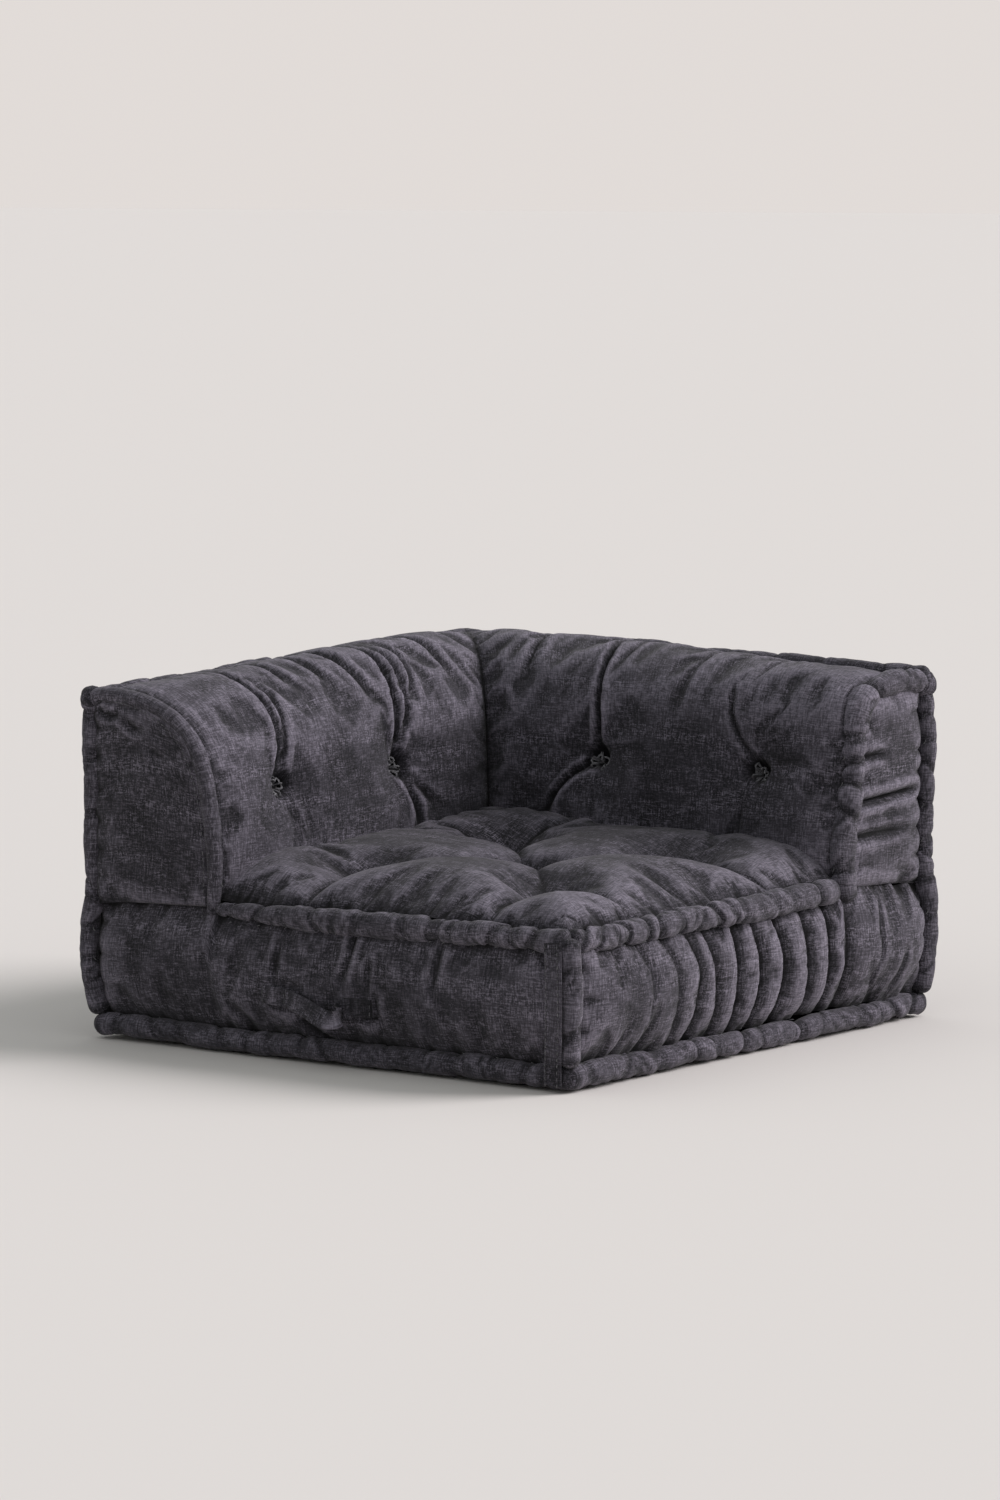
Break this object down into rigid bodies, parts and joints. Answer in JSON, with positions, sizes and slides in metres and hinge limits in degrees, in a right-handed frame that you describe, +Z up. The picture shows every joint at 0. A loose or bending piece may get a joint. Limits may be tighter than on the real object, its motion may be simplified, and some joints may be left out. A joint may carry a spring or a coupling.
{
  "type": "corner sofa",
  "caption": "Low legless corner sofa module: square tufted seat block with an L-shaped stuffed back, stitched rolled edges and a fabric strap handle.",
  "frame": {"origin": "on the floor, under the middle of the square footprint of the rolled edges", "axes": "+Z up; -Y towards the open front with the strap handle; +X towards the open right side; the backs stand along -X and +Y"},
  "size_m": [1.0002, 1.0291, 0.586],
  "materials": {
    "charcoal_cotton": "washed matt",
    "tuft_cotton": "matt thread",
    "filling": "cotton wadding",
    "twine": "matt twine"
  },
  "bodies": {
    "sofa": {"back_roll_left": "charcoal_cotton", "back_roll_rear": "charcoal_cotton", "base_cloth": "charcoal_cotton", "base_roll_front": "charcoal_cotton", "base_roll_left": "charcoal_cotton", "base_roll_rear": "charcoal_cotton", "base_roll_right": "charcoal_cotton", "base_tufts": "tuft_cotton", "corner_roll_front_left_lower": "charcoal_cotton", "corner_roll_front_left_upper": "charcoal_cotton", "corner_roll_front_right": "charcoal_cotton", "corner_roll_rear_left_lower": "charcoal_cotton", "corner_roll_rear_left_upper": "charcoal_cotton", "corner_roll_rear_right_lower": "charcoal_cotton", "corner_roll_rear_right_upper": "charcoal_cotton", "end_roll_left_back": "charcoal_cotton", "end_roll_rear_back": "charcoal_cotton", "front_border": "charcoal_cotton", "front_corner_tape": "charcoal_cotton", "handle_tab_left": "charcoal_cotton", "handle_tab_right": "charcoal_cotton", "left_back_core": "filling", "left_back_end_panel": "charcoal_cotton", "left_back_inner_panel": "charcoal_cotton", "left_back_inner_tufts": "tuft_cotton", "left_back_outer_panel": "charcoal_cotton", "left_back_outer_tufts": "tuft_cotton", "left_back_tuft_ties": "twine", "left_border": "charcoal_cotton", "rear_back_core": "filling", "rear_back_end_panel": "charcoal_cotton", "rear_back_inner_panel": "charcoal_cotton", "rear_back_inner_tufts": "tuft_cotton", "rear_back_outer_panel": "charcoal_cotton", "rear_back_outer_tufts": "tuft_cotton", "rear_back_tuft_ties": "twine", "rear_border": "charcoal_cotton", "right_border": "charcoal_cotton", "seat_core": "filling", "seat_roll_front": "charcoal_cotton", "seat_roll_right": "charcoal_cotton", "seat_top_panel": "charcoal_cotton", "seat_tuft_ties": "twine", "seat_tufts": "tuft_cotton"},
    "strap": {"handle_loop": "charcoal_cotton"}
  },
  "joints": [
    {"name": "strap_lift", "type": "hinge", "parent": "sofa", "child": "strap", "pos_m": [0.004, -0.50109, 0.116], "axis": [-1, 0, 0], "range_deg": [0, 110]}
  ]
}
